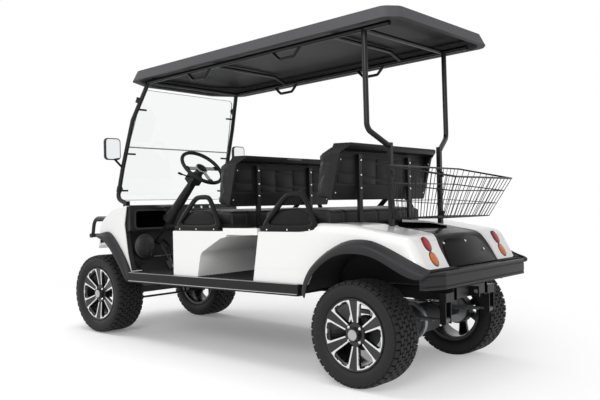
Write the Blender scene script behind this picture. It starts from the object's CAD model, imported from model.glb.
import math

import bmesh
import bpy
from mathutils import Matrix, Vector


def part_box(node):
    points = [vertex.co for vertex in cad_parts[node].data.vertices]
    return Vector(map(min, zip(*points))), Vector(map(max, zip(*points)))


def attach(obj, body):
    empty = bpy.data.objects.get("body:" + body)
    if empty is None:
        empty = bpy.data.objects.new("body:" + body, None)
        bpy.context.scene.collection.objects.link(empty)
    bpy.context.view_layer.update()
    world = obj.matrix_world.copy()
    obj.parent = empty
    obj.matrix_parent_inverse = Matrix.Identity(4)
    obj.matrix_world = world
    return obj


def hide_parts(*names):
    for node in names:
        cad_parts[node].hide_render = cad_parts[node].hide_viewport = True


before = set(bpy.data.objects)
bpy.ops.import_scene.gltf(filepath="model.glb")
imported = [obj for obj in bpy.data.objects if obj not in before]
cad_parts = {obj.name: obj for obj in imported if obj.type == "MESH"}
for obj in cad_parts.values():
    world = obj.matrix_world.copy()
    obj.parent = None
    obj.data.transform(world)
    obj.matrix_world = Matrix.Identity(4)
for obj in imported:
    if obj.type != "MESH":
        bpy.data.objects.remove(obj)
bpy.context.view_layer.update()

# ---- Camera --------------------------------------------------------------------------------------
# About a metre up, behind the cart and to its left, with a slightly long lens. It is placed from
# the rear axle, which is the middle of the rear tyres.

tyre_low, tyre_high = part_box("tyre_rear_left")
rear_axle_x = (tyre_low[0] + tyre_high[0]) / 2
camera_yaw, camera_pitch = -0.8677, -0.0108

camera_data = bpy.data.cameras.new("camera")
camera_data.sensor_width = 36
camera_data.lens = 43.6
camera = bpy.data.objects.new("camera", camera_data)
bpy.context.scene.collection.objects.link(camera)
camera.location = (rear_axle_x - 2.2946, 3.7829, 1.0576)
look = Vector((math.cos(camera_yaw) * math.cos(camera_pitch),
               math.sin(camera_yaw) * math.cos(camera_pitch), math.sin(camera_pitch)))
camera.rotation_euler = look.to_track_quat("-Z", "Y").to_euler()
bpy.context.scene.camera = camera
bpy.context.scene.view_settings.view_transform = "Standard"


# ---- Materials -----------------------------------------------------------------------------------
# Every material is made of nodes, and its patterns are measured in millimetres on the object.

def linear(hex_colour):
    """Linear RGBA of an sRGB hex colour."""
    channels = []
    for start in (1, 3, 5):
        value = int(hex_colour[start:start + 2], 16) / 255
        channels.append(value / 12.92 if value <= 0.04045 else ((value + 0.055) / 1.055) ** 2.4)
    return channels + [1.0]


def add(tree, kind, inputs=None, **settings):
    """Add a node with its settings; an input is a value, or the socket that feeds it."""
    made = tree.nodes.new(kind)
    for name, value in settings.items():
        setattr(made, name, value)
    for name, value in (inputs or {}).items():
        if isinstance(value, bpy.types.NodeSocket):
            tree.links.new(value, made.inputs[name])
        else:
            made.inputs[name].default_value = value
    return made


def new_material(name):
    """An empty node material, its tree, and the place on the object that patterns read."""
    material = bpy.data.materials.new(name)
    material.use_nodes = True
    tree = material.node_tree
    tree.nodes.clear()
    return material, tree, add(tree, "ShaderNodeTexCoord").outputs["Object"]


def principled(tree, inputs):
    """Join a principled shader with these inputs to the material's output."""
    shader = add(tree, "ShaderNodeBsdfPrincipled", inputs)
    add(tree, "ShaderNodeOutputMaterial", {"Surface": shader.outputs[0]})


def blend(tree, share, first, second):
    """The mix of two colours, each a value or a socket, by a share."""
    return add(tree, "ShaderNodeMix", {0: share, 6: first, 7: second}, data_type="RGBA").outputs[2]


def surface(name, colour, second, roughness, patch_mm, grain_mm, grain_depth_mm, **sockets):
    """A material whose colour wanders between two values in patches, under a fine grain."""
    material, tree, place = new_material(name)
    patches = add(tree, "ShaderNodeTexNoise", {"Vector": place, "Scale": 1000 / patch_mm, "Detail": 4.0})
    colours = blend(tree, patches.outputs["Fac"], linear(colour), linear(second))
    shine = add(tree, "ShaderNodeMapRange", {"Value": patches.outputs["Fac"], "To Min": roughness * 0.85,
                                             "To Max": min(1.0, roughness * 1.15)})
    grain = add(tree, "ShaderNodeTexNoise", {"Vector": place, "Scale": 1000 / grain_mm, "Detail": 2.0})
    bump = add(tree, "ShaderNodeBump", {"Height": grain.outputs["Fac"], "Strength": 1.0,
                                        "Distance": grain_depth_mm / 1000})
    inputs = {"Base Color": colours, "Roughness": shine.outputs[0], "Normal": bump.outputs[0]}
    inputs.update({key.replace("_", " "): value for key, value in sockets.items()})
    principled(tree, inputs)
    return material


# ---- Pieces and shapes ---------------------------------------------------------------------------
# A piece is one mesh that rides on a body; its shapes are drawn in metres into a bmesh.

def dress(material, *names):
    """Give these CAD nodes a material."""
    for name in names:
        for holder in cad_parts[name].material_slots:
            holder.material = material


def new_piece(name, bm, material, body, sharp=35, place=None):
    """Make a piece of a bmesh: put in place, faces outwards, smooth but for sharp edges, on a body."""
    if place is not None:
        bmesh.ops.transform(bm, matrix=place, verts=bm.verts)
    bmesh.ops.recalc_face_normals(bm, faces=bm.faces)
    mesh = bpy.data.meshes.new(name)
    bm.to_mesh(mesh)
    bm.free()
    mesh.materials.append(material)
    for face in mesh.polygons:
        face.use_smooth = True
    mesh.set_sharp_from_angle(angle=math.radians(sharp))
    made = bpy.data.objects.new(name, mesh)
    bpy.context.scene.collection.objects.link(made)
    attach(made, body)
    return made


def body_piece(name, bm, material, sharp=35, place=Matrix.Identity(4)):
    """Make a piece that is fixed to the cart's body and drawn on the level body."""
    return new_piece(name, bm, material, "chassis", sharp, on_body @ place)


def walled(piece, thickness):
    """Give a sheet a wall, half of it on each side."""
    wall = piece.modifiers.new("wall", "SOLIDIFY")
    wall.thickness, wall.offset = thickness, 0.0


def band(bm, first, second):
    """Join two closed rows of points by a row of faces, and return the faces."""
    corners = zip(first, first[1:] + first[:1], second[1:] + second[:1], second)
    return [bm.faces.new(face) for face in corners]


def points_in(geom):
    """The points among what an operator made."""
    return [part for part in geom if isinstance(part, bmesh.types.BMVert)]


def thicken(bm, faces, by):
    """Extrude faces by a vector and return the points that moved."""
    moved = points_in(bmesh.ops.extrude_face_region(bm, geom=faces)["geom"])
    bmesh.ops.translate(bm, vec=by, verts=moved)
    return moved


def closed_loop(bm, points):
    """Add a closed loop through some points, and return its points and edges."""
    verts = [bm.verts.new(point) for point in points]
    return verts, [bm.edges.new(pair) for pair in zip(verts, verts[1:] + verts[:1])]


def edges_at(verts):
    """The edges that meet some points, each once."""
    return list(dict.fromkeys(edge for vert in verts for edge in vert.link_edges))


def soften(bm, geom, offset, segments, affect="EDGES"):
    """Round edges, or corners of a flat outline, by an offset."""
    bmesh.ops.bevel(bm, geom=geom, offset=offset, offset_type="OFFSET", affect=affect, segments=segments,
                    profile=0.5, material=-1)


def slab(bm, low, high, bevel=0.0, segments=2, turn=None):
    """Add a box between two corners with rounded edges; `turn` places it afterwards."""
    middle = (Vector(low) + Vector(high)) / 2
    size = Vector(high) - Vector(low)
    made = bmesh.ops.create_cube(bm, size=1, matrix=Matrix.Translation(middle) @ Matrix.Diagonal((*size, 1)))
    verts = made["verts"]
    if turn is not None:
        bmesh.ops.transform(bm, matrix=turn, verts=verts)
    if bevel:
        soften(bm, edges_at(verts), bevel, segments)


def slab_pair(bm, low, high, bevel, segments):
    """Add a slab on the cart's left and its mirror image on the right."""
    for low_y, high_y in ((low[1], high[1]), (-high[1], -low[1])):
        slab(bm, (low[0], low_y, low[2]), (high[0], high_y, high[2]), bevel, segments)


def bar(bm, start, end, radius, sides=10, end_radius=None):
    """Add a round bar between two points."""
    start, end = Vector(start), Vector(end)
    along = end - start
    turn = along.to_track_quat("Z", "Y").to_matrix().to_4x4()
    bmesh.ops.create_cone(bm, cap_ends=True, segments=sides, radius1=radius,
                          radius2=radius if end_radius is None else end_radius, depth=along.length,
                          matrix=Matrix.Translation((start + end) / 2) @ turn)


def bolt(bm, at, towards, radius, height=0.005):
    """Add a round bolt head with a chamfered rim, standing on `at`."""
    at, towards = Vector(at), Vector(towards).normalized()
    bar(bm, at - towards * 0.002, at + towards * height * 0.6, radius, 14)
    bar(bm, at + towards * height * 0.6, at + towards * height, radius, 14, radius * 0.72)


def spun_ring(bm, profile, steps=72, angle=math.tau, start=0.0):
    """Add a ring round the Y axis from a closed profile of (radius, across)."""
    ring, edges = closed_loop(bm, [(radius * math.sin(start), across, radius * math.cos(start))
                                   for radius, across in profile])
    full = abs(angle - math.tau) < 1e-6
    if not full:
        bm.faces.new(ring)
    made = bmesh.ops.spin(bm, geom=ring + edges, cent=(0, 0, 0), axis=(0, 1, 0), dvec=(0, 0, 0),
                          angle=angle, steps=steps, use_merge=full)
    if not full:
        bm.faces.new(points_in(made["geom_last"]))


# ---- Studio: floor, backdrop and lights ----------------------------------------------------------
# A white studio floor that fades into a white backdrop. The floor is matt paper lit by the room,
# with a little light of its own so that only the cart's soft shadow shows on it.

def seen_white(tree):
    """1 for rays that should find the white background: the camera's, reflected and refracted ones."""
    path = add(tree, "ShaderNodeLightPath")
    first = add(tree, "ShaderNodeMath", {0: path.outputs["Is Camera Ray"], 1: path.outputs["Is Glossy Ray"]},
                operation="MAXIMUM")
    return add(tree, "ShaderNodeMath", {0: first.outputs[0], 1: path.outputs["Is Transmission Ray"]},
               operation="MAXIMUM").outputs[0]


world = bpy.data.worlds.new("studio")
world.use_nodes = True
bpy.context.scene.world = world
tree = world.node_tree
tree.nodes.clear()
room = add(tree, "ShaderNodeBackground", {"Color": (1, 1, 1, 1), "Strength": 0.44})
white = add(tree, "ShaderNodeBackground", {"Color": (1, 1, 1, 1), "Strength": 1.0})
mixed = add(tree, "ShaderNodeMixShader", {0: seen_white(tree), 1: room.outputs[0], 2: white.outputs[0]})
add(tree, "ShaderNodeOutputWorld", {"Surface": mixed.outputs[0]})

paper, tree, place = new_material("white studio paper")
matt = add(tree, "ShaderNodeBsdfDiffuse", {"Color": linear("#f4f4f4")})
glow = add(tree, "ShaderNodeEmission", {"Color": (1, 1, 1, 1), "Strength": 0.16})
lit = add(tree, "ShaderNodeAddShader", {0: matt.outputs[0], 1: glow.outputs[0]})
backdrop = add(tree, "ShaderNodeEmission", {"Color": (1, 1, 1, 1), "Strength": 1.0})
centred = add(tree, "ShaderNodeVectorMath", {0: place, 1: (1.1, 0.0, 0.0)}, operation="SUBTRACT")
away = add(tree, "ShaderNodeVectorMath", {0: centred.outputs[0]}, operation="LENGTH")
fade = add(tree, "ShaderNodeMapRange", {"Value": away.outputs["Value"], "From Min": 1.7, "From Max": 3.6},
           interpolation_type="SMOOTHSTEP")
sweep = add(tree, "ShaderNodeMixShader", {0: fade.outputs[0], 1: lit.outputs[0], 2: backdrop.outputs[0]})
shown = add(tree, "ShaderNodeMixShader", {0: seen_white(tree), 1: matt.outputs[0], 2: sweep.outputs[0]})
add(tree, "ShaderNodeOutputMaterial", {"Surface": shown.outputs[0]})

floor_mesh = bpy.data.meshes.new("floor")
bm = bmesh.new()
bmesh.ops.create_circle(bm, cap_ends=True, segments=64, radius=40)
bm.to_mesh(floor_mesh)
bm.free()
floor_mesh.materials.append(paper)
floor = bpy.data.objects.new("floor", floor_mesh)
bpy.context.scene.collection.objects.link(floor)

# Each lamp: its name, where it hangs, where it points, its size in metres and its power in watts.
for name, at, towards, size, power in (
    ("key", (-3.2, 5.6, 4.0), (0.8, 0, 0.9), 3.0, 185),
    ("top", (0.4, 0.4, 6.0), (0.4, 0, 0), 4.5, 170),
    ("front", (6.0, 2.5, 3.0), (1.0, 0, 0.8), 3.0, 70),
):
    lamp_data = bpy.data.lights.new(name, "AREA")
    lamp_data.shape = "DISK"
    lamp_data.size = size
    lamp_data.energy = power
    lamp = bpy.data.objects.new(name, lamp_data)
    lamp.location = at
    lamp.rotation_euler = (Vector(towards) - Vector(at)).to_track_quat("-Z", "Y").to_euler()
    bpy.context.scene.collection.objects.link(lamp)


# ---- Body panels ---------------------------------------------------------------------------------
# Cowl, front seat box and rear body: thermoformed ABS with a glossy white top layer, screwed to
# the frame. The sheet is never quite flat, so its shine wanders a little.

# The body stands nose-down on its springs, so its pieces are drawn level, from the rear axle and
# the ground, and turned by this.
body_rake = math.radians(1.6)
on_body = Matrix.Translation((rear_axle_x, 0, 0)) @ Matrix.Rotation(body_rake, 4, "Y")

gloss_white = surface("gloss white ABS", "#f1f1f0", "#f7f7f6", 0.22, 900, 60, 0.05,
                      Coat_Weight=0.6, Coat_Roughness=0.06)
dress(gloss_white, "front_cowl", "front_seat_box", "rear_body")


# ---- Moulded black parts -------------------------------------------------------------------------
# Sills, mirrors, seat shells, column, dash, flares and bumper: polypropylene from a textured mould,
# which leaves a fine leathery grain and a dull sheen.

black_moulding = surface("black moulded polypropylene", "#171718", "#1f1f20", 0.48, 260, 3.0, 0.22,
                         Specular_IOR_Level=0.22)
dress(black_moulding, "sills", "mirrors", "seat_shells", "steering_column")

dash_grey = surface("dark grey dash moulding", "#262628", "#2f2f31", 0.48, 120, 2.5, 0.2,
                    Specular_IOR_Level=0.3)
dress(dash_grey, "dashboard")

flare_black = surface("black flare plastic", "#232325", "#2b2b2d", 0.45, 300, 4.0, 0.2,
                      Specular_IOR_Level=0.25)

bright_zinc = surface("bright zinc plating", "#c9cacb", "#dcdcdc", 0.22, 30, 2.0, 0.05, Metallic=1.0)
black_oxide = surface("black oxide screws", "#0c0c0d", "#161617", 0.35, 30, 2.0, 0.05, Metallic=0.6)


# ---- Powder-coated steel -------------------------------------------------------------------------
# Frame, posts, pillars, rails, guard, struts, pedals, front axle and tie rod: steel under a baked
# black powder coat, satin and slightly orange-peeled. The rear axle is cast, and the springs bare.

powder_coat = surface("black powder coat", "#0c0c0d", "#131314", 0.36, 180, 5.0, 0.12,
                      Specular_IOR_Level=0.35)
dress(powder_coat, "chassis_frame", "rear_posts", "front_pillars", "roof_rails", "brush_guard",
      "seat_struts", "pedals", "front_axle", "tie_rod")

cast_iron = surface("painted cast iron", "#2c2c2e", "#3b3b3d", 0.55, 60, 6.0, 0.5, Metallic=0.3)
dress(cast_iron, "rear_axle", "knuckle_left", "knuckle_right")

spring_steel = surface("scaled spring steel", "#5a5c5e", "#737577", 0.48, 80, 3.0, 0.2, Metallic=0.7)
dress(spring_steel, "leaf_springs")

battery_case = surface("battery case", "#17181a", "#1f2022", 0.5, 200, 3.0, 0.2)
dress(battery_case, "battery")


# ---- Roof ----------------------------------------------------------------------------------------
# One large rotomoulded lid of polyethylene: a charcoal pebbled skin outside that the sun has
# greyed, and black, smoother plastic below.

roof_skin = surface("charcoal rotomoulded polyethylene", "#48484b", "#525255", 0.52, 500, 4.0, 0.4,
                    Specular_IOR_Level=0.14)
tree = roof_skin.node_tree
facing = add(tree, "ShaderNodeSeparateXYZ", {0: add(tree, "ShaderNodeTexCoord").outputs["Normal"]})
outside = add(tree, "ShaderNodeMapRange",
              {"Value": facing.outputs["Z"], "From Min": -0.75, "From Max": -0.25})
shader = next(node for node in tree.nodes if node.type == "BSDF_PRINCIPLED")
greyed = shader.inputs["Base Color"].links[0].from_socket
two_sided = blend(tree, outside.outputs[0], linear("#161617"), greyed)
tree.links.new(two_sided, shader.inputs["Base Color"])
dress(roof_skin, "roof")


# ---- Tyres ---------------------------------------------------------------------------------------
# All-terrain tyres of black rubber: a bulging sidewall, and a tread of moulded blocks in staggered
# rows, whose outer lugs wrap down over the shoulder.

tyre_rubber = surface("tyre rubber", "#1a1a1b", "#212122", 0.62, 90, 5.0, 0.3, Specular_IOR_Level=0.28)
tread_radius, tread_base = 0.2908, 0.2790
axle_height, shoulder_start = 0.292, 0.08
tread_pitches = 40
# Lugs on the sidewall: how far from the axle, how far across, and their lean in degrees.
lug_radius, lug_across, lug_lean = 0.2690, 0.1055, 24

# Each block of one pitch: where across the tyre and round the pitch its middle is, its width
# across, its length round as a share of the pitch, and how far it is skewed, in degrees.
tread_blocks = (
    (0.0, 0.00, 0.0250, 0.80, 22),
    (-0.0305, 0.50, 0.0250, 0.82, -20),
    (0.0305, 0.50, 0.0250, 0.82, -20),
    (-0.0610, 0.02, 0.0260, 0.82, 18),
    (0.0610, 0.02, 0.0260, 0.82, 18),
    (-0.0915, 0.52, 0.0285, 0.78, 0),
    (0.0915, 0.52, 0.0285, 0.78, 0),
)
# Half the profile of the tyre's carcass as (radius, across), from one bead to the tread.
half_profile = ((0.180, 0.091), (0.197, 0.091), (0.203, 0.097), (0.209, 0.104), (0.224, 0.111),
                (0.241, 0.1135), (0.256, 0.1125), (0.269, 0.108), (0.2755, 0.099), (0.2785, 0.070))


def tyre_bmesh():
    """One tyre round the Y axis at the origin."""
    bm = bmesh.new()
    spun_ring(bm, half_profile + tuple((radius, -across) for radius, across in reversed(half_profile)), 96,
              start=math.pi / 2)
    pitch = math.tau / tread_pitches
    for step in range(tread_pitches):
        for across, share, width, length, skew in tread_blocks:
            turn = Matrix.Rotation((step + share) * pitch, 4, "Y")
            half_round = length * pitch * tread_radius / 2
            shoulder = abs(across) > shoulder_start
            tilt, lower = (13, 0.0042) if shoulder else (1.5, 0.0008)
            lean = Matrix.Rotation(math.radians(math.copysign(tilt, across)), 4, "Z")
            skewed = Matrix.Rotation(math.radians(skew), 4, "X")
            high = tread_radius - tread_base - lower
            slab(bm, (-0.006, -width / 2, -half_round), (high, width / 2, half_round), 0.0014, 1,
                 turn @ Matrix.Translation((tread_base, across, 0)) @ lean @ skewed)
        for side in (-1, 1):
            lean = Matrix.Rotation(math.radians(side * lug_lean), 4, "Z")
            for share, drop, half_round in ((0.30, 0.012, 0.009), (0.76, 0.007, 0.006)):
                turn = Matrix.Rotation((step + share + (0.0 if side < 0 else 0.5)) * pitch, 4, "Y")
                slab(bm, (-drop, -0.004, -half_round), (0.004, 0.005, half_round), 0.0015, 1,
                     turn @ Matrix.Translation((lug_radius, side * lug_across, 0)) @ lean)
    return bm


wheels = [(end, side) for end in ("front", "rear") for side in ("left", "right")]


def wheel_place(end, side):
    """Where a wheel stands, its outer face outwards."""
    low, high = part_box(f"tyre_{end}_{side}")
    middle = [(low[axis] + high[axis]) / 2 for axis in range(3)]
    middle[2] = axle_height
    return Matrix.Translation(middle) @ Matrix.Rotation(0 if side == "left" else math.pi, 4, "Z")


for end, side in wheels:
    tread = new_piece(f"treaded_tyre_{end}_{side}", tyre_bmesh(), tyre_rubber, f"wheel_{end}_{side}",
                      30, wheel_place(end, side))
    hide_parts(f"tyre_{end}_{side}")


# ---- Wheels --------------------------------------------------------------------------------------
# Cast aluminium wheels, painted gloss black and then turned bright on the faces beside the six
# spokes and round the windows. Four zinc nuts and a bright cap in a black collar.

wheel_black = surface("gloss black wheel enamel", "#101011", "#171718", 0.26, 120, 8.0, 0.05,
                      Coat_Weight=0.12, Coat_Roughness=0.08)
machined_alloy = surface("machined aluminium", "#d8d9da", "#e9e9ea", 0.24, 40, 1.5, 0.03, Metallic=1.0)
cap_alloy = surface("brushed aluminium cap", "#a9abad", "#bfc0c1", 0.34, 30, 1.0, 0.04, Metallic=1.0)
spoke_count = 6
spoke_turn = math.tau / spoke_count
# Half a spoke's width at the hub and at the lip, and the width of the turned line along it.
spoke_hub_half, spoke_lip_half = 0.0180, 0.0350
edge_width = 0.0082
# Depth of the wheel's face, from the wheel's middle plane: at the hub and at the outer lip.
face_hub, face_lip = 0.076, 0.0965
hub_reach, lip_reach = 0.050, 0.188
stud_circle = 0.0508


def face_depth(radius):
    """How far out the spokes' face is at a radius."""
    return face_hub + (face_lip - face_hub) * (radius - hub_reach) / (lip_reach - hub_reach)


def strip(bm, corners, top, thick, turn):
    """Add a plate from (radius, across) corners, its top following the spokes' face, and turn it."""
    verts = [bm.verts.new(turn @ Vector((across, face_depth(radius) + top, radius)))
             for radius, across in corners]
    thicken(bm, [bm.faces.new(verts)], (0, -thick, 0))


def painted_wheel():
    """Barrel, spokes and hub, round the Y axis."""
    bm = bmesh.new()
    spun_ring(bm, ((0.176, -0.099), (0.1955, -0.099), (0.1955, -0.093), (0.179, -0.088), (0.179, 0.088),
                   (0.1955, 0.093), (0.1955, 0.0985), (0.188, 0.0985), (0.172, 0.080), (0.170, -0.06),
                   (0.172, -0.09)), 96)
    spun_ring(bm, ((0.030, 0.040), (0.062, 0.040), (0.066, 0.066), (0.061, 0.0785), (0.050, 0.0800),
                   (0.030, 0.0800)))
    for index in range(spoke_count):
        strip(bm, ((0.050, -spoke_hub_half), (0.186, -spoke_lip_half), (0.192, 0), (0.186, spoke_lip_half),
                   (0.050, spoke_hub_half)), -0.001, 0.024, Matrix.Rotation(index * spoke_turn, 4, "Y"))
    return bm


def bright_faces():
    """The turned faces: a line along each side of a spoke, corner gussets and the arcs between."""
    bm = bmesh.new()
    lip_angle = math.asin((spoke_lip_half + 0.018) / 0.188)
    for index in range(spoke_count):
        for side in (-1, 1):
            line = [(0.066, spoke_hub_half + 0.0015 - edge_width), (0.187, spoke_lip_half - edge_width),
                    (0.1905, spoke_lip_half + 0.004), (0.1875, spoke_lip_half + 0.022),
                    (0.1780, spoke_lip_half + 0.0215), (0.172, spoke_lip_half + 0.008),
                    (0.158, spoke_lip_half - 0.0025), (0.066, spoke_hub_half + 0.0015)]
            line = [(radius, side * across) for radius, across in line]
            strip(bm, line if side > 0 else line[::-1], 0.0015, 0.009,
                  Matrix.Rotation(index * spoke_turn, 4, "Y"))
        spun_ring(bm, ((0.1820, 0.088), (0.1912, 0.088), (0.1912, 0.0980), (0.1820, 0.0980)), 10,
                  spoke_turn - 2 * lip_angle, index * spoke_turn + lip_angle)
        spun_ring(bm, ((0.1770, 0.088), (0.1860, 0.088), (0.1860, 0.0975), (0.1770, 0.0975)), 4,
                  math.radians(8), (index + 0.5) * spoke_turn - math.radians(4))
    return bm


def nuts():
    """Four wheel nuts round the cap."""
    bm = bmesh.new()
    for turn in (45, 135, 225, 315):
        angle = math.radians(turn)
        across, up = stud_circle * math.sin(angle), stud_circle * math.cos(angle)
        bar(bm, (across, 0.070, up), (across, 0.090, up), 0.0095, 6)
        bar(bm, (across, 0.090, up), (across, 0.094, up), 0.0085, 12, 0.005)
    return bm


def cap_collar():
    """Black collar round the cap."""
    bm = bmesh.new()
    spun_ring(bm, ((0.026, 0.070), (0.041, 0.070), (0.0395, 0.090), (0.034, 0.1050), (0.027, 0.1050)), 48)
    return bm


def cap_face():
    """Bright domed face of the cap."""
    bm = bmesh.new()
    bar(bm, (0, 0.080, 0), (0, 0.106, 0), 0.0285, 48)
    bar(bm, (0, 0.106, 0), (0, 0.1085, 0), 0.0285, 48, 0.022)
    return bm


for end, side in wheels:
    body = f"wheel_{end}_{side}"
    for name, make, material in (("wheel", painted_wheel, wheel_black),
                                 ("wheel_faces", bright_faces, machined_alloy),
                                 ("wheel_nuts", nuts, bright_zinc), ("cap_collar", cap_collar, wheel_black),
                                 ("cap_face", cap_face, cap_alloy)):
        made = new_piece(f"{name}_{end}_{side}", make(), material, body,
                         place=wheel_place(end, side))
        if name == "wheel":
            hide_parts(f"rim_{end}_{side}")


# ---- Floor mat -----------------------------------------------------------------------------------
# A black rubber mat over the steel floor, moulded with low ribs that run along the cart.

mat_rubber = surface("ribbed floor rubber", "#1b1b1c", "#232324", 0.72, 150, 4.0, 0.3, Specular_IOR_Level=0.2)
dress(mat_rubber, "floor_pan")
floor_top = 0.538
rib_half, rib_spacing, ribs_each_side = 0.006, 0.033, 16

bm = bmesh.new()
for run_low, run_high in ((0.818, 1.488), (1.597, 1.958)):
    for index in range(-ribs_each_side, ribs_each_side + 1):
        across = index * rib_spacing
        slab(bm, (run_low, across - rib_half, floor_top - 0.002),
             (run_high, across + rib_half, floor_top + 0.0025), 0.0015, 1)
body_piece("floor_mat_ribs", bm, mat_rubber)


# ---- Sill trims ----------------------------------------------------------------------------------
# An anodised aluminium strip screwed along the top of each sill, and a thin bright bead below.

anodised = surface("satin anodised aluminium", "#a4a5a7", "#b6b7b8", 0.38, 200, 1.5, 0.05, Metallic=1.0)
sill_start, sill_end, sill_side = 0.410, 2.000, 0.6045
bm = bmesh.new()
slab_pair(bm, (sill_start, 0.574, 0.5335), (sill_end, sill_side, 0.5375), 0.001, 1)
slab_pair(bm, (sill_start, sill_side, 0.476), (sill_end, 0.6068, 0.481), 0.0006, 1)
body_piece("sill_trims", bm, anodised)


# ---- Seats ---------------------------------------------------------------------------------------
# Bench cushions: foam on a board under black vinyl, pulled over and stapled below. Each is swollen
# as cloth over its foam and then drawn in along its sewn lines.

seat_vinyl = surface("black seat vinyl", "#151516", "#1d1d1e", 0.44, 200, 2.6, 0.3,
                     Specular_IOR_Level=0.3, Sheen_Weight=0.03)
seat_pitch = 0.800


def foam(name, shrink):
    """A CAD cushion as one closed, evenly divided mesh, a little smaller than its solid."""
    bm = bmesh.new()
    bm.from_mesh(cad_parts[name].data)
    bmesh.ops.remove_doubles(bm, verts=bm.verts, dist=1e-5)
    low, high = (Vector(corner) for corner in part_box(name))
    middle, size = (low + high) / 2, high - low
    scale = Matrix.Diagonal([1 - 2 * shrink / extent for extent in size] + [1])
    bmesh.ops.transform(bm, matrix=Matrix.Translation(middle) @ scale @ Matrix.Translation(-middle),
                        verts=bm.verts)
    mesh = bpy.data.meshes.new(name + "_foam")
    bm.to_mesh(mesh)
    bm.free()
    made = bpy.data.objects.new(name + "_vinyl", mesh)
    bpy.context.scene.collection.objects.link(made)
    remesh = made.modifiers.new("even", "REMESH")
    remesh.mode = "VOXEL"
    remesh.voxel_size = 0.008
    settle(made)
    return made


def settle(made):
    """Replace an object's mesh by what its modifiers make of it, and drop them."""
    bpy.context.view_layer.update()
    shown = made.evaluated_get(bpy.context.evaluated_depsgraph_get())
    mesh = bpy.data.meshes.new_from_object(shown)
    made.modifiers.clear()
    made.data = mesh


def swell(made, pressure, cap):
    """Blow the skin up as cloth, no point further than the cap."""
    rest = [vert.co.copy() for vert in made.data.vertices]
    cloth = made.modifiers.new("cloth", "CLOTH")
    cloth.settings.quality = 4
    cloth.settings.mass = 0.35
    cloth.settings.tension_stiffness = cloth.settings.compression_stiffness = 18
    cloth.settings.bending_stiffness = 1.2
    cloth.settings.use_pressure = True
    cloth.settings.uniform_pressure_force = pressure
    cloth.settings.effector_weights.gravity = 0
    cloth.collision_settings.use_collision = False
    cloth.point_cache.frame_start, cloth.point_cache.frame_end = 1, 20
    for step in range(1, 21):
        bpy.context.scene.frame_set(step)
    settle(made)
    bpy.context.scene.frame_set(1)
    for vert, before in zip(made.data.vertices, rest):
        moved = vert.co - before
        if moved.length > cap:
            vert.co = before + moved * (cap / moved.length)


def sew(made, lines, depth, width):
    """Draw the skin in along sewn lines; a line is (axis, place) in metres."""
    pulls = []
    for vert in made.data.vertices:
        pull = 0.0
        for axis, place in lines:
            pull = max(pull, math.exp(-((vert.co[axis] - place) / width) ** 2))
        pulls.append(pull)
    normals = [vert.normal.copy() for vert in made.data.vertices]
    for vert, normal, pull in zip(made.data.vertices, normals, pulls):
        vert.co -= normal * (depth * pull)


def rounded_off(piece, levels):
    """Smooth a coarse cage into its final curved form."""
    smooth = piece.modifiers.new("smooth", "SUBSURF")
    smooth.levels = smooth.render_levels = levels


def finish_cushion(made, node):
    made.data.materials.clear()
    made.data.materials.append(seat_vinyl)
    rounded_off(made, 1)
    for face in made.data.polygons:
        face.use_smooth = True
    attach(made, "chassis")
    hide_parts(node)


cushion_seams = (0.0, -0.345, 0.345)
cushion_pressure, seam_depth, seam_width = 3.0, 0.006, 0.008
for row in ("front", "rear"):
    for part, shrink, cap in (("cushion", 0.006, 0.010), ("back", 0.004, 0.008)):
        node = f"seat_{part}_{row}"
        low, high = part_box(node)
        cross_seams = [(2, high[2] - 0.10)]
        if part == "cushion":
            cross_seams = [(0, high[0] - 0.075), (2, low[2] + 0.028)]
        skin = foam(node, shrink)
        swell(skin, cushion_pressure, cap)
        sew(skin, [(1, across) for across in cushion_seams] + cross_seams, seam_depth, seam_width)
        finish_cushion(skin, node)


# ---- Seat shells ---------------------------------------------------------------------------------
# Backrest shells of black polypropylene, stiffened by raised pads on the back, with zinc screws
# through the struts and the wings, and a grab handle at the front row's top edge.

# Raised pads on a shell's back as (left edge, right edge, bottom, top) in body millimetres.
shell_pads = (
    (-232, -100, 1086, 1122), (-232, -100, 1134, 1240), (-78, 78, 1086, 1108), (-78, 78, 1120, 1206),
    (-78, 78, 1218, 1240), (100, 232, 1086, 1122), (100, 232, 1134, 1240), (314, 474, 1090, 1140),
    (314, 474, 1152, 1240), (-474, -314, 1090, 1140), (-474, -314, 1152, 1240),
)
shell_face_x, strut_back_x, strut_across, pad_height = 0.227, 0.207, 0.272, 0.0045
# The shell's wings lean back from a height, by a share of what is above it.
wing_x, wing_foot, wing_lean, wing_screw = 0.2365, 1.035, 0.22, 0.485
# How far forward and up each row's shell stands, front row first.
shell_offsets = ((seat_pitch, 0.0), (-0.030, 0.025))

bm = bmesh.new()
for shift, lift in shell_offsets:
    for left, right, bottom, top in shell_pads:
        slab(bm, (shell_face_x + shift - pad_height, left / 1000, bottom / 1000 + lift),
             (shell_face_x + shift + 0.012, right / 1000, top / 1000 + lift), 0.0035, 2)
body_piece("shell_pads", bm, black_moulding)

bm = bmesh.new()
for shift, lift in shell_offsets:
    for across in (-strut_across, strut_across):
        for height in (1.228, 1.140, 1.062):
            bolt(bm, (strut_back_x + shift, across, height + lift), (-1, 0, 0), 0.0075, 0.006)
        for offset in (-0.060, 0.060):
            bolt(bm, (shell_face_x + shift, across + offset, 1.205 + lift), (-1, 0, 0), 0.0055, 0.004)
    for across in (-wing_screw, wing_screw):
        for height in (wing_foot, 1.225):
            along = wing_x + shift - (height - wing_foot) * wing_lean
            bolt(bm, (along, across, height + lift), (-1, 0, 0.2), 0.005, 0.003)
body_piece("seat_screws", bm, bright_zinc)

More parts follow.
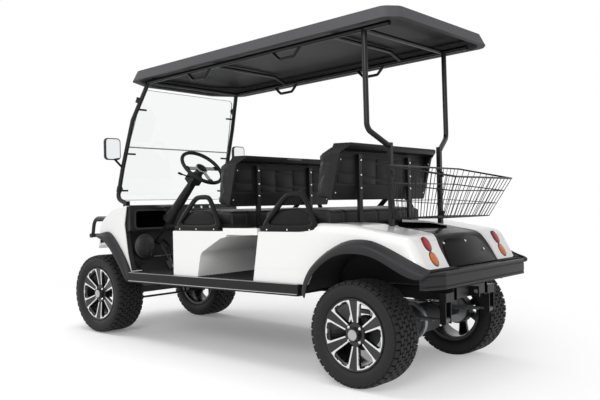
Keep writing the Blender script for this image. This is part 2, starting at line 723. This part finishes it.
grey_handle = surface("grey nylon handle", "#5a5a5c", "#666668", 0.5, 100, 2.0, 0.1)
bm = bmesh.new()
slab(bm, (0.118 + seat_pitch, -0.075, 1.300), (0.128 + seat_pitch, 0.075, 1.314), 0.004, 2)
body_piece("shell_handle", bm, grey_handle)


# ---- Wheel-arch flares ---------------------------------------------------------------------------
# Flexible black polypropylene flares: a band that leaves the body's edge, slopes out and turns down
# into a lip. Each is screwed along its upper edge.

# Lines along each flare as (forward of the axle, above it): where it leaves the body, and its lip.
flare_at_body = {
    "rear": ((0.392, 0.215), (0.358, 0.305), (0.308, 0.380), (0.200, 0.452), (0.079, 0.507), (-0.012, 0.511),
             (-0.101, 0.507), (-0.265, 0.436), (-0.410, 0.364), (-0.453, 0.358)),
    "front": ((-0.407, 0.106), (-0.375, 0.190), (-0.322, 0.277), (-0.228, 0.385), (-0.133, 0.478),
              (-0.050, 0.462), (0.032, 0.445)),
}
flare_at_lip = {
    "rear": ((0.336, 0.148), (0.326, 0.220), (0.301, 0.290), (0.208, 0.378), (0.103, 0.433), (-0.010, 0.438),
             (-0.124, 0.432), (-0.245, 0.372), (-0.355, 0.315), (-0.452, 0.309)),
    "front": ((-0.370, 0.099), (-0.318, 0.184), (-0.252, 0.263), (-0.190, 0.330), (-0.126, 0.390),
              (-0.062, 0.416), (0.001, 0.432)),
}
flare_reach = {"rear": 0.073, "front": 0.038}
axle_x = {"rear": 0.0, "front": 2.408}
body_side, flare_wall, flare_screw_side = 0.570, 0.006, 0.583


def arch_middle(end):
    """The wheel's middle on the level body."""
    return on_body.inverted() @ Vector((rear_axle_x + axle_x[end], 0, axle_height))


def inwards(point, distance):
    """A point of an arch line moved towards the wheel's middle."""
    return point * (1 - distance / point.length)


def bridge_rings(bm, rings):
    """Join a row of closed rings of points into a skin with closed ends."""
    loops = [closed_loop(bm, ring) for ring in rings]
    for (_, before), (_, after) in zip(loops, loops[1:]):
        bmesh.ops.bridge_loops(bm, edges=before + after)
    bm.faces.new(loops[0][0])
    bm.faces.new(loops[-1][0])


for end in ("rear", "front"):
    middle, reach = arch_middle(end), flare_reach[end]
    bm = bmesh.new()
    for side in (-1, 1):
        rings = []
        for body_point, lip_point in zip(flare_at_body[end], flare_at_lip[end]):
            upper, lip = Vector(body_point), Vector(lip_point)
            fold = upper.lerp(lip, 0.50)
            section = (
                (upper, 0.560), (inwards(upper, -0.001), 0.576),
                (inwards(fold, -0.010), body_side + reach * 0.80),
                (inwards(fold, -0.001), body_side + reach * 0.97),
                (lip, body_side + reach), (inwards(lip, flare_wall), body_side + reach - flare_wall),
                (inwards(fold, 0.010), body_side + reach * 0.80 - flare_wall), (inwards(upper, 0.010), 0.562),
            )
            rings.append([(middle[0] + flat[0], side * across, middle[2] + flat[1])
                          for flat, across in section])
        bridge_rings(bm, rings)
    made = body_piece(f"arch_flares_{end}", bm, flare_black, 60)
    rounded_off(made, 2)
    if end == "rear":
        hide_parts("fender_flares")

# Screws of a flare as (forward of the axle, above it) near its upper edge.
flare_screws = {"rear": ((-0.322, 0.388), (-0.226, 0.432), (-0.088, 0.492), (0.104, 0.480), (0.204, 0.432),
                         (0.318, 0.330)),
                "front": ((-0.374, 0.150), (-0.300, 0.262), (-0.205, 0.372), (-0.110, 0.450))}
bm = bmesh.new()
for end, spots in flare_screws.items():
    middle = arch_middle(end)
    for along, up in spots:
        out = inwards(Vector((along, up)), -0.004)
        for side in (-1, 1):
            bolt(bm, (middle[0] + out[0], side * flare_screw_side, middle[2] + out[1]),
                 (along, side * 0.50, up), 0.0065, 0.005)
body_piece("flare_screws", bm, black_oxide)


# ---- Wheel-arch liners ---------------------------------------------------------------------------
# Black plastic sheet inside each arch, between the body's skin and the wheel, which hides the
# white sheet's back and keeps mud out.

liner_edge, liner_foot = 0.5615, 0.536
liner_inner = {"rear": 0.2575, "front": 0.300}
bm = bmesh.new()
for end in ("rear", "front"):
    middle = arch_middle(end)
    for side in (-1, 1):
        line = [inwards(Vector(point), 0.016) for point in flare_at_body[end]]
        verts = [bm.verts.new((middle[0] + flat[0], side * liner_edge, middle[2] + flat[1])) for flat in line]
        edges = [bm.edges.new(pair) for pair in zip(verts, verts[1:])]
        moved = points_in(bmesh.ops.extrude_edge_only(bm, edges=edges)["geom"])
        bmesh.ops.translate(bm, vec=(0, -side * (liner_edge - liner_inner[end]), 0), verts=moved)
        if end == "rear":
            moved.sort(key=lambda vert: -vert.co[0])
            foot = [bm.verts.new((vert.co[0], vert.co[1], liner_foot)) for vert in (moved[-1], moved[0])]
            bm.faces.new(moved + foot)
walled(body_piece("arch_liners", bm, mat_rubber, 40), 0.003)


# ---- Armrests ------------------------------------------------------------------------------------
# Moulded in one piece: a rounded handle bent like a tube over a large opening, on a long foot,
# with a soft hip panel swelling out inside it. Three zinc screws hold each foot.

armrest_vinyl = surface("soft black armrest skin", "#0d0d0e", "#131314", 0.42, 160, 2.6, 0.25,
                        Specular_IOR_Level=0.18)
# Round the handle, as (outer along, outer height, inner along, inner height), body metres.
handle_line = (
    (0.736, 0.846, 0.668, 0.884), (0.716, 0.886, 0.660, 0.896), (0.640, 0.968, 0.604, 0.946),
    (0.562, 1.042, 0.536, 1.014), (0.528, 1.068, 0.512, 1.034), (0.498, 1.076, 0.492, 1.042),
    (0.445, 1.077, 0.446, 1.044), (0.398, 1.075, 0.412, 1.042), (0.372, 1.060, 0.396, 1.032),
    (0.338, 0.998, 0.370, 0.982), (0.300, 0.916, 0.336, 0.906), (0.284, 0.878, 0.332, 0.892),
    (0.292, 0.844, 0.346, 0.882), (0.515, 0.840, 0.505, 0.880),
)
handle_outer, handle_inner = 0.567, 0.537
# Outline of the hip panel, and the point that its edges draw in towards.
hip_x, hip_z = 0.515, 0.838
hip_panel = ((0.326, 0.838), (0.716, 0.838), (0.700, 0.900), (0.622, 0.966), (0.500, 0.978), (0.385, 0.966),
             (0.335, 0.905))

handles, panels, screws = bmesh.new(), bmesh.new(), bmesh.new()
for shift in (0.0, seat_pitch):
    slab_pair(handles, (0.300 + shift, 0.528, 0.8405), (0.730 + shift, 0.566, 0.872), 0.008, 3)
    for side in (-1, 1):
        rings = []
        for outer_x, outer_z, inner_x, inner_z in handle_line:
            corners = ((outer_x, handle_outer, outer_z), (inner_x, handle_outer, inner_z),
                       (inner_x, handle_inner, inner_z), (outer_x, handle_inner, outer_z))
            rings.append([handles.verts.new((x + shift, side * y, z)) for x, y, z in corners])
        for before, after in zip(rings, rings[1:] + rings[:1]):
            band(handles, before, after)
        bridge_rings(panels, [
            [(hip_x + shift + (x - hip_x) * share, side * across, hip_z + (z - hip_z) * share)
             for x, z in hip_panel]
            for across, share in ((0.519, 0.90), (0.524, 1.0), (0.542, 1.0), (0.550, 0.86))])
        for along in (0.338, 0.508, 0.672):
            bolt(screws, (along + shift, side * 0.566, 0.850), (0, side, 0), 0.0055, 0.003)
for bm, name, material, slot in ((handles, "armrest_handles", armrest_vinyl, "black_plastic"),
                                 (panels, "armrest_panels", armrest_vinyl, "black_plastic"),
                                 (screws, "armrest_screws", bright_zinc, "wheel_alloy")):
    made = body_piece(name, bm, material, 50)
    if name != "armrest_screws":
        rounded_off(made, 2)
    if name == "armrest_handles":
        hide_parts("armrests")


# ---- Basket --------------------------------------------------------------------------------------
# A welded wire basket hung between the posts: a thick top hoop, two thinner hoops, close upright
# wires bent under to make the floor. Black powder coat over everything.

# Corners of the floor and of the top hoop as (along, across, height), body metres, going round.
basket_low = [(-0.366, -0.277, 0.908), (-0.060, -0.300, 0.908), (-0.060, 0.300, 0.908),
              (-0.366, 0.277, 0.908)]
basket_high = [(-0.483, -0.345, 1.127), (-0.094, -0.419, 1.204), (-0.094, 0.419, 1.204),
               (-0.483, 0.345, 1.127)]
top_wire, hoop_wire, thin_wire = 0.0052, 0.0032, 0.0021
wire_spacing = 0.046


def between(start, end, share):
    """The point a share of the way from one point to another."""
    return Vector(start).lerp(Vector(end), share)


bm = bmesh.new()
for share, radius in ((0.0, hoop_wire), (0.34, thin_wire), (0.67, hoop_wire), (1.0, top_wire)):
    ring = [between(low, high, share) for low, high in zip(basket_low, basket_high)]
    for start, end in zip(ring, ring[1:] + ring[:1]):
        bar(bm, start, end, radius, 8)
        bmesh.ops.create_icosphere(bm, subdivisions=1, radius=radius, matrix=Matrix.Translation(start))
for index in range(4):
    low_a, low_b = basket_low[index], basket_low[(index + 1) % 4]
    high_a, high_b = basket_high[index], basket_high[(index + 1) % 4]
    count = round((Vector(high_b) - Vector(high_a)).length / wire_spacing)
    for share in (step / count for step in range(count + 1)):
        bar(bm, between(low_a, low_b, share), between(high_a, high_b, share), thin_wire, 6)
rear_right, front_right, front_left, rear_left = basket_low
for count, near_start, near_end, far_start, far_end in (
        (8, rear_right, front_right, rear_left, front_left),
        (13, rear_right, rear_left, front_right, front_left)):
    for share in (step / count for step in range(1, count)):
        bar(bm, between(near_start, near_end, share), between(far_start, far_end, share), thin_wire, 6)
for foot in (1.150, 0.905):
    slab_pair(bm, (-0.062, 0.270, foot), (-0.046, 0.290, foot + 0.035), 0.002, 1)
wire_basket = body_piece("wire_basket", bm, powder_coat)
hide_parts("basket")


# ---- Rear bumper ---------------------------------------------------------------------------------
# Hollow blow-moulded bumper with chamfered ends and two grooves round it, bolted to two legs from
# the frame.

bumper_front = -0.400
bumper_outline = ((-0.490, -0.480), (-0.490, 0.480), (-0.436, 0.600), (bumper_front, 0.600),
                  (bumper_front, -0.600), (-0.436, -0.600))


def bumper_layer(bm, inset, low, high, bevel):
    """Add one layer of the bumper, its outline drawn in by `inset`."""
    verts = []
    for along, across in bumper_outline:
        shift = inset if along < bumper_front else 0
        verts.append(bm.verts.new((along + shift, across - math.copysign(inset, across), low)))
    top = thicken(bm, [bm.faces.new(verts)], (0, 0, high - low))
    soften(bm, edges_at(verts + top), bevel, 3)


bm = bmesh.new()
bumper_layer(bm, 0.006, 0.550, 0.634, 0.002)
for low, high in ((0.548, 0.562), (0.568, 0.616), (0.622, 0.636)):
    bumper_layer(bm, 0.0, low, high, 0.005)
slab_pair(bm, (-0.402, 0.170, 0.540), (-0.340, 0.200, 0.558), 0.002, 1)
slab_pair(bm, (-0.374, 0.170, 0.5265), (-0.340, 0.200, 0.558), 0.002, 1)
grooved_bumper = body_piece("grooved_bumper", bm, flare_black)
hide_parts("rear_bumper")


# ---- Panel behind the seats ----------------------------------------------------------------------
# A smooth black cover over the bay between the fenders, shinier than the textured parts, held by
# zinc screws.

satin_black = surface("satin black ABS sheet", "#060607", "#0a0a0b", 0.24, 350, 8.0, 0.05,
                      Specular_IOR_Level=0.07)
dress(satin_black, "rear_access_panel")

# Black trim covers the bay's white side walls beside it.
bay_side, bay_trim_wall = 0.2462, 0.0034
bay_trim = ((0.258, 0.872), (0.020, 0.866), (-0.096, 0.848), (-0.096, 0.700), (0.258, 0.700))
bm = bmesh.new()
for side in (-1, 1):
    verts = [bm.verts.new((along, side * bay_side, height)) for along, height in bay_trim]
    thicken(bm, [bm.faces.new(verts)], (0, side * bay_trim_wall, 0))
body_piece("bay_side_trims", bm, satin_black)

# The lower part is a raised plate with an arched top edge.
plate_outline = [(-0.272, 0.642), (0.272, 0.642), (0.262, 0.705), (0.238, 0.752), (0.180, 0.786),
                 (0.090, 0.800), (-0.090, 0.800), (-0.180, 0.786), (-0.238, 0.752), (-0.262, 0.705)]
# The cover's plane: where it is at a height, how far it leans forward above, and its outward way.
cover_x, cover_from, cover_slope = -0.332, 0.766, 0.593
cover_out = Vector((-0.860, 0, 0.510))
bm = bmesh.new()
verts = [bm.verts.new((cover_x + (height - cover_from) * cover_slope, across, height))
         for across, height in plate_outline]
moved = thicken(bm, [bm.faces.new(verts)], cover_out * 0.0035)
soften(bm, [edge for edge in bm.edges if all(vert in moved for vert in edge.verts)], 0.0018, 2)
body_piece("cover_plate", bm, satin_black)

bm = bmesh.new()
for at in ((-0.332, 0.224, 0.766), (-0.331, -0.027, 0.767), (-0.364, -0.192, 0.712)):
    bolt(bm, Vector(at) + cover_out * 0.003, cover_out, 0.0075, 0.005)
body_piece("cover_screws", bm, bright_zinc)


# ---- Tail lamps ----------------------------------------------------------------------------------
# On each fender two oval lamps one over the other, red over amber: prismatic acrylic lenses in
# black bezels, let into the sloping skin.

prism_mm = 5.0


def lens(name, colour, deep):
    """A moulded lens: tinted acrylic whose inner prisms scatter light, under a clear gloss."""
    material, tree, place = new_material(name)
    cells = add(tree, "ShaderNodeTexVoronoi", {"Vector": place, "Scale": 1000 / prism_mm})
    prisms = cells.outputs["Distance"]
    bump = add(tree, "ShaderNodeBump", {"Height": prisms, "Strength": 0.6, "Distance": 0.0006})
    principled(tree, {
        "Base Color": blend(tree, prisms, linear(colour), linear(deep)), "Roughness": 0.22, "IOR": 1.49,
        "Specular IOR Level": 0.25, "Coat Weight": 0.25, "Coat Roughness": 0.05, "Normal": bump.outputs[0]})
    return material


red_lens = lens("red acrylic lens", "#cc1620", "#7d0a10")
amber_lens = lens("amber acrylic lens", "#f58420", "#b8500a")
lamp_slope = math.radians(61.7)
lamp_out = Vector((-math.sin(lamp_slope), 0, math.cos(lamp_slope)))
# An oval stretched along the slope: half its size across and along it.
lens_across, lens_along = 0.0300, 0.0385
bezel_across, bezel_along = 0.0370, 0.0448
# Steps of a lens's dome: from and to above the skin, its share of the oval, and its narrowing.
dome_steps = ((0.000, 0.0100, 1.0, 1.0), (0.0100, 0.0145, 1.0, 0.82), (0.0145, 0.0170, 0.82, 0.45))


def oval(bm, at, start, end, across, along, narrowing=1.0):
    """Add an oval disc standing out of the fender, its outer face narrowed."""
    slope = Vector((math.cos(lamp_slope), 0, math.sin(lamp_slope)))
    axes = Matrix((Vector((0, 1, 0)), slope, lamp_out)).transposed().to_4x4()
    place = Matrix.Translation(Vector(at) + lamp_out * (start + end) / 2) @ axes
    bmesh.ops.create_cone(bm, cap_ends=True, segments=48, radius1=1.0, radius2=narrowing, depth=end - start,
                          matrix=place @ Matrix.Diagonal((across, along, 1, 1)))


lamp_places = (("red", -0.333, 0.769, red_lens), ("amber", -0.375, 0.691, amber_lens))
bezels = bmesh.new()
for name, along, height, material in lamp_places:
    bm = bmesh.new()
    for across in (-0.412, 0.412):
        at = (along, across, height)
        for start, end, share, narrowing in dome_steps:
            oval(bm, at, start, end, lens_across * share, lens_along * share, narrowing)
        oval(bezels, at, -0.012, 0.0075, bezel_across, bezel_along)
        oval(bezels, at, 0.0075, 0.0100, bezel_across, bezel_along, 0.92)
    body_piece(f"tail_lenses_{name}", bm, material)
tail_bezels = body_piece("tail_lamp_bezels", bezels, black_moulding)
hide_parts("tail_lamps")


# ---- Headlamps -----------------------------------------------------------------------------------
# Sealed lamps in the nose: a fluted lens and its bright reflector, drawn as one glossy surface.

clear_lens, tree, place = new_material("clear fluted lens")
flutes = add(tree, "ShaderNodeTexWave", {"Vector": place, "Scale": 1000 / 60.0}, bands_direction="Y")
bump = add(tree, "ShaderNodeBump", {"Height": flutes.outputs["Fac"], "Strength": 0.7, "Distance": 0.001})
principled(tree, {"Base Color": linear("#d9dee2"), "Roughness": 0.12, "Metallic": 0.55, "Coat Weight": 1.0,
                  "Coat Roughness": 0.03, "Normal": bump.outputs[0]})
dress(clear_lens, "headlamps")


# ---- Windshield ----------------------------------------------------------------------------------
# Two sheets of clear cast acrylic, one over the other, with polished edges and a thin grey seam
# between them, clamped to the pillars.

# The sheets are too thin to bend light that is seen, so the index is near 1 and a coat gives the gloss.
acrylic, tree, place = new_material("clear cast acrylic")
haze = add(tree, "ShaderNodeTexNoise", {"Vector": place, "Scale": 1000 / 400})
rough = add(tree, "ShaderNodeMapRange", {"Value": haze.outputs["Fac"], "To Min": 0.0, "To Max": 0.01})
principled(tree, {"Base Color": linear("#f6f8f8"), "Roughness": rough.outputs[0], "IOR": 1.01,
                  "Transmission Weight": 1.0, "Coat Weight": 0.35, "Coat Roughness": 0.02, "Coat IOR": 1.49})

cowl_back = 2.074
# Left pillar's middle line above the cowl, as (along, across, height) in body metres.
pillar_line = ((cowl_back + 0.124, 0.541, 1.070), (cowl_back + 0.073, 0.528, 1.296),
               (cowl_back - 0.031, 0.509, 1.641), (cowl_back - 0.098, 0.470, 1.870))
pane_thick, pane_gap, pane_inset, corner_round = 0.005, 0.004, 0.0155, 0.035
glass_foot, seam_height, glass_top = 1.058, 1.450, 1.866
# The sheets' plane: where it is at a height, and how far it leans back for each metre above.
glass_x, glass_from, glass_slope = cowl_back + 0.150, 1.052, 0.242 / 0.814


def on_pillar(height):
    """Where the left pillar's middle line is at a height."""
    for low, high in zip(pillar_line, pillar_line[1:]):
        if height <= high[2] or high is pillar_line[-1]:
            return Vector(low).lerp(Vector(high), (height - low[2]) / (high[2] - low[2]))


def pane(bm, low, high, corner):
    """Add one sheet between two heights, its upper or lower corners cut, from pillar to pillar."""
    verts = []
    for height, side in ((low, -1), (low, 1), (high, 1), (high, -1)):
        along = glass_x - glass_slope * (height - glass_from)
        verts.append(bm.verts.new((along, side * (on_pillar(height)[1] - pane_inset), height)))
    bm.faces.new(verts)
    soften(bm, verts[:2] if corner == "low" else verts[2:], corner_round, 5, "VERTICES")


bm = bmesh.new()
pane(bm, glass_foot, seam_height - pane_gap / 2, "low")
pane(bm, seam_height + pane_gap / 2, glass_top, "high")
border = bm.copy()
bmesh.ops.solidify(bm, geom=list(bm.faces), thickness=pane_thick)
sheets = body_piece("acrylic_sheets", bm, acrylic)
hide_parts("windshield")

# The polished edge gathers the light of the whole sheet and reads as a grey line.
edge_acrylic = surface("acrylic edge", "#8f9496", "#a2a7a8", 0.25, 200, 5.0, 0.02)
bmesh.ops.inset_region(border, faces=border.faces, thickness=0.0035, use_boundary=True)
inner = [face for face in border.faces if len(face.verts) > 4]
bmesh.ops.delete(border, geom=inner, context="FACES_ONLY")
walled(body_piece("acrylic_edges", border, edge_acrylic), pane_thick + 0.001)

# Rubber-lined clamps hold the sheets on the pillars, and a thin strip closes the seam.
clamp_heights = (1.140, 1.785)
bm = bmesh.new()
for side in (-1, 1):
    for height in clamp_heights:
        low, high = on_pillar(height - 0.020), on_pillar(height + 0.020)
        low[1], high[1] = side * low[1], side * high[1]
        bar(bm, low, high, 0.0195, 20)
        at = (low + high) / 2
        low_y, high_y = sorted((at[1], at[1] - side * 0.027))
        slab(bm, (at[0] - 0.008, low_y, at[2] - 0.012), (at[0] + 0.012, high_y, at[2] + 0.012), 0.003, 2)
body_piece("windshield_clamps", bm, black_moulding)
seam_x, seam_end = (on_pillar(seam_height) - Vector((0.004, 0.016, 0)))[:2]
bm = bmesh.new()
bar(bm, (seam_x, -seam_end, seam_height), (seam_x, seam_end, seam_height), 0.0035, 10)
body_piece("windshield_seam", bm, edge_acrylic)


# ---- Mirrors -------------------------------------------------------------------------------------
# Moulded housings on short arms; each mirror is silvered glass behind a narrow black rim.

silvered, tree, place = new_material("silvered mirror glass")
film = add(tree, "ShaderNodeTexNoise", {"Vector": place, "Scale": 1000 / 80})
rough = add(tree, "ShaderNodeMapRange", {"Value": film.outputs["Fac"], "To Min": 0.01, "To Max": 0.05})
principled(tree, {"Base Color": linear("#eceeef"), "Metallic": 1.0, "Roughness": rough.outputs[0]})
mirror_x, mirror_across, mirror_height = cowl_back + 0.0275, 0.642, 1.429
mirror_tall, mirror_wide, mirror_round = 0.072, 0.058, 0.022
upright = Matrix.Rotation(-math.pi / 2, 4, "Y") @ Matrix.Diagonal((mirror_tall, mirror_wide, 1, 1))
for name, side in (("left", 1), ("right", -1)):
    bm = bmesh.new()
    place = Matrix.Translation((mirror_x, side * mirror_across, mirror_height)) @ upright
    bmesh.ops.create_grid(bm, x_segments=1, y_segments=1, size=1.0, matrix=place)
    soften(bm, list(bm.verts), mirror_round, 5, "VERTICES")
    thicken(bm, list(bm.faces), (0.0016, 0, 0))
    body_piece(f"mirror_glass_{name}", bm, silvered)


# ---- Dash ----------------------------------------------------------------------------------------
# The moulded dash has a lighter rounded bezel round each open cubby, lined in black, a speaker pod
# with a thin rim and ribs, three round knobs and a small slide.

bezel_grey = surface("grey dash bezel", "#333335", "#3d3d3f", 0.42, 120, 2.5, 0.15)
flock = surface("black flock lining", "#020202", "#040404", 0.95, 40, 1.2, 0.15, Specular_IOR_Level=0.05)
dash_rear, cubby_back = 2.048, 2.1505
cubby_low, cubby_high, cubby_round, bezel_width = 0.852, 0.976, 0.024, 0.013


def cubby_rim(bm, left, right, along, radius):
    """Add the points round a cubby's mouth, its corners rounded to a radius about fixed middles."""
    points = []
    for across, height, turn in ((right - cubby_round, cubby_high - cubby_round, 0),
                                 (left + cubby_round, cubby_high - cubby_round, 90),
                                 (left + cubby_round, cubby_low + cubby_round, 180),
                                 (right - cubby_round, cubby_low + cubby_round, 270)):
        for angle in (math.radians(turn + step * 15) for step in range(7)):
            point = (along, across + radius * math.cos(angle), height + radius * math.sin(angle))
            points.append(bm.verts.new(point))
    return points


bezels, linings = bmesh.new(), bmesh.new()
for left, right in ((0.212, 0.496), (-0.496, -0.030)):
    inner, outer = [cubby_rim(bezels, left, right, dash_rear - 0.006, radius)
                    for radius in (cubby_round, cubby_round + bezel_width)]
    thicken(bezels, band(bezels, inner, outer), (0.009, 0, 0))
    mouth, back = [cubby_rim(linings, left, right, along, cubby_round - 0.0006)
                   for along in (dash_rear + 0.001, cubby_back)]
    band(linings, mouth, back)
    linings.faces.new(back)
body_piece("cubby_bezels", bezels, bezel_grey)
body_piece("cubby_linings", linings, flock)

pod_at = Vector((2.084, 0.395, 0.715))
on_pod = Matrix.Translation(pod_at) @ Matrix.Rotation(math.pi / 2, 4, "Z")
pod_skin = surface("dark grey speaker pod", "#303032", "#3a3a3c", 0.46, 120, 2.5, 0.2, Specular_IOR_Level=0.3)
pod_reach = 0.088
bm = bmesh.new()
spun_ring(bm, ((0.0, -0.004), (pod_reach, -0.004), (pod_reach - 0.001, 0.008), (pod_reach - 0.006, 0.020),
               (pod_reach - 0.018, 0.030), (0.040, 0.036), (0.0, 0.038)), 64)
bmesh.ops.remove_doubles(bm, verts=bm.verts, dist=1e-5)
body_piece("speaker_pod", bm, pod_skin, 40, on_pod)
bm = bmesh.new()
spun_ring(bm, ((pod_reach - 0.003, 0.010), (pod_reach + 0.0005, 0.008), (pod_reach + 0.0005, 0.012),
               (pod_reach - 0.003, 0.014)), 64)
body_piece("pod_rim", bm, grey_handle, place=on_pod)
bm = bmesh.new()
for turn in range(3):
    place = Matrix.Rotation(math.radians(60 * turn + 30), 4, "Y")
    slab(bm, (-0.052, 0.0335, -0.0022), (0.052, 0.0385, 0.0022), 0.001, 1, place)
body_piece("pod_ribs", bm, pod_skin, place=on_pod)

bm = bmesh.new()
for across, height, radius in ((-0.140, 0.996, 0.012), (-0.052, 0.998, 0.010), (-0.230, 0.998, 0.010)):
    bar(bm, (dash_rear + 0.003, across, height), (dash_rear - 0.012, across, height), radius, 20,
        radius * 0.85)
slab(bm, (pod_at[0] - 0.008, 0.330, 0.640), (pod_at[0] + 0.012, 0.352, 0.650), 0.002, 1)
body_piece("dash_switches", bm, bright_zinc)


# ---- Steering wheel ------------------------------------------------------------------------------
# A thick soft-grip rim on three satin spokes, a bright hub plate and a black cap in the middle.

soft_grip = surface("soft grip foam", "#161617", "#1f1f20", 0.62, 60, 2.0, 0.25, Specular_IOR_Level=0.3)
satin_alloy = surface("satin aluminium spokes", "#c3c4c6", "#d2d3d4", 0.48, 60, 1.5, 0.05, Metallic=0.35)
dress(soft_grip, "steering_wheel")
column_angle = math.radians(44.6)
column_length, column_across = 0.400, 0.270
wheel_middle = (1.850 - column_length * math.cos(column_angle), column_across,
                0.996 + column_length * math.sin(column_angle))
lean = Matrix.Rotation(column_angle - math.pi / 2, 4, "Y")
wheel_plane = on_body @ Matrix.Translation(wheel_middle) @ lean
spoke_places = [Matrix.Rotation(math.radians(turn), 4, "Z") for turn in (90, 180, 270)]
# The column's two-part plastic shroud, wider towards the dash.
bm = bmesh.new()
bar(bm, (0, 0, -0.395), (0, 0, -0.150), 0.0365, 32, 0.0290)
bar(bm, (0, 0, -0.150), (0, 0, -0.138), 0.0290, 32, 0.0240)
new_piece("column_shroud", bm, black_moulding, "chassis", place=wheel_plane)
spoke_top = -0.0065
bm = bmesh.new()
bar(bm, (0, 0, spoke_top - 0.001), (0, 0, spoke_top + 0.003), 0.046, 40)
for place in spoke_places:
    slab(bm, (0.030, -0.0135, spoke_top - 0.002), (0.128, 0.0135, spoke_top + 0.0015), 0.001, 1, place)
new_piece("steering_spokes", bm, satin_alloy, "steering_wheel", place=wheel_plane)
bm = bmesh.new()
bar(bm, (0, 0, spoke_top + 0.002), (0, 0, spoke_top + 0.009), 0.030, 40, 0.027)
bar(bm, (0, 0, spoke_top + 0.009), (0, 0, spoke_top + 0.012), 0.027, 40, 0.018)
for place in spoke_places:
    slab(bm, (0.118, -0.0185, spoke_top - 0.006), (0.158, 0.0185, spoke_top + 0.006), 0.005, 2, place)
new_piece("steering_cap_and_pads", bm, soft_grip, "steering_wheel", place=wheel_plane)


# ---- Axle hardware -------------------------------------------------------------------------------
# Zinc-plated U-bolts clamp each rear spring to the axle through a lower plate; the dampers have a
# grey body over a polished rod, and grey cast plates back the drums.

damper_grey = surface("grey damper enamel", "#6d6f71", "#7b7d7f", 0.35, 40, 2.0, 0.08, Metallic=0.4)
cast_grey = surface("raw cast aluminium", "#8d8f91", "#a6a8aa", 0.45, 30, 2.5, 0.25, Metallic=0.8)
spring_across, perch_top, bolt_foot, bolt_radius = 0.262, 0.366, 0.236, 0.0055
damper_across, drum_back, flange_circle = 0.323, 0.498, 0.1055
on_axle = Matrix.Translation((rear_axle_x, 0, 0))
clamps, plates, dampers, rods = bmesh.new(), bmesh.new(), bmesh.new(), bmesh.new()
slab_pair(plates, (-0.060, spring_across - 0.046, bolt_foot),
          (0.060, spring_across + 0.046, bolt_foot + 0.010), 0.003, 2)
for side in (-1, 1):
    for along in (-0.042, 0.042):
        for across in (-0.033, 0.033):
            y = side * spring_across + across
            bar(clamps, (along, y, bolt_foot - 0.012), (along, y, perch_top), bolt_radius, 12)
            bar(clamps, (along, y, bolt_foot - 0.010), (along, y, bolt_foot), 0.0105, 6)
        bar(clamps, (along, side * spring_across - 0.0335, perch_top),
            (along, side * spring_across + 0.0335, perch_top), bolt_radius, 12)
    bar(plates, (0, side * drum_back, axle_height), (0, side * (drum_back - 0.012), axle_height), 0.090, 48,
        0.084)
    slab(plates, (-0.0195, side * 0.470 - 0.030, axle_height + 0.030),
         (0.0195, side * 0.470 + 0.012, axle_height + 0.066), 0.006, 2)
new_piece("spring_clamps", clamps, bright_zinc, "chassis", place=on_axle)
new_piece("axle_plates", plates, cast_grey, "chassis", place=on_axle)

# A cast parting flange with ten bolts goes round the differential's housing.
bm = bmesh.new()
spun_ring(bm, ((0.098, -0.0135), (0.1125, -0.0135), (0.1125, 0.0135), (0.098, 0.0135)), 64)
for angle in (index * math.tau / 10 for index in range(10)):
    along, up = flange_circle * math.sin(angle), flange_circle * math.cos(angle)
    for start, end in ((-0.0165, -0.0205), (0.0135, 0.0195)):
        bar(bm, (along, start, up), (along, end, up), bolt_radius, 6)
new_piece("differential_flange", bm, cast_grey, "chassis",
          place=on_axle @ Matrix.Translation((0, 0.060, axle_height)))

for side in (-1, 1):
    low = Vector((0.078, side * damper_across, 0.306))
    high = Vector((0.094, side * damper_across, 0.486))
    bar(rods, low, low.lerp(high, 0.5), 0.0176, 20)
    bar(dampers, low.lerp(high, 0.48), high, 0.0250, 28)
    for share in (0.50, 0.58, 0.66, 0.74, 0.82):
        bar(dampers, low.lerp(high, share), low.lerp(high, share + 0.03), 0.0272, 28)
new_piece("damper_bodies", dampers, damper_grey, "chassis", place=on_axle)
new_piece("damper_rods", rods, bright_zinc, "chassis", place=on_axle)


# ---- Pressed lines and seams ---------------------------------------------------------------------
# A shallow pressed line runs forward along the rear body's side, and black edging covers the raw
# edges round the toe board.

bm = bmesh.new()
slab_pair(bm, (0.405, 0.5695, 0.6215), (0.781, 0.5712, 0.6245), 0.0007, 1)
body_piece("side_pressed_line", bm, gloss_white)
bm = bmesh.new()
slab_pair(bm, (2.030, 0.440, 0.562), (2.080, 0.492, 0.606), 0.003, 2)
body_piece("toe_edging", bm, black_moulding)

# Slim polished link from the pedal box up behind the dash.
bm = bmesh.new()
bar(bm, (2.090, 0.175, 0.700), (1.880, 0.300, 0.560), 0.006, 12)
body_piece("pedal_link", bm, bright_zinc)
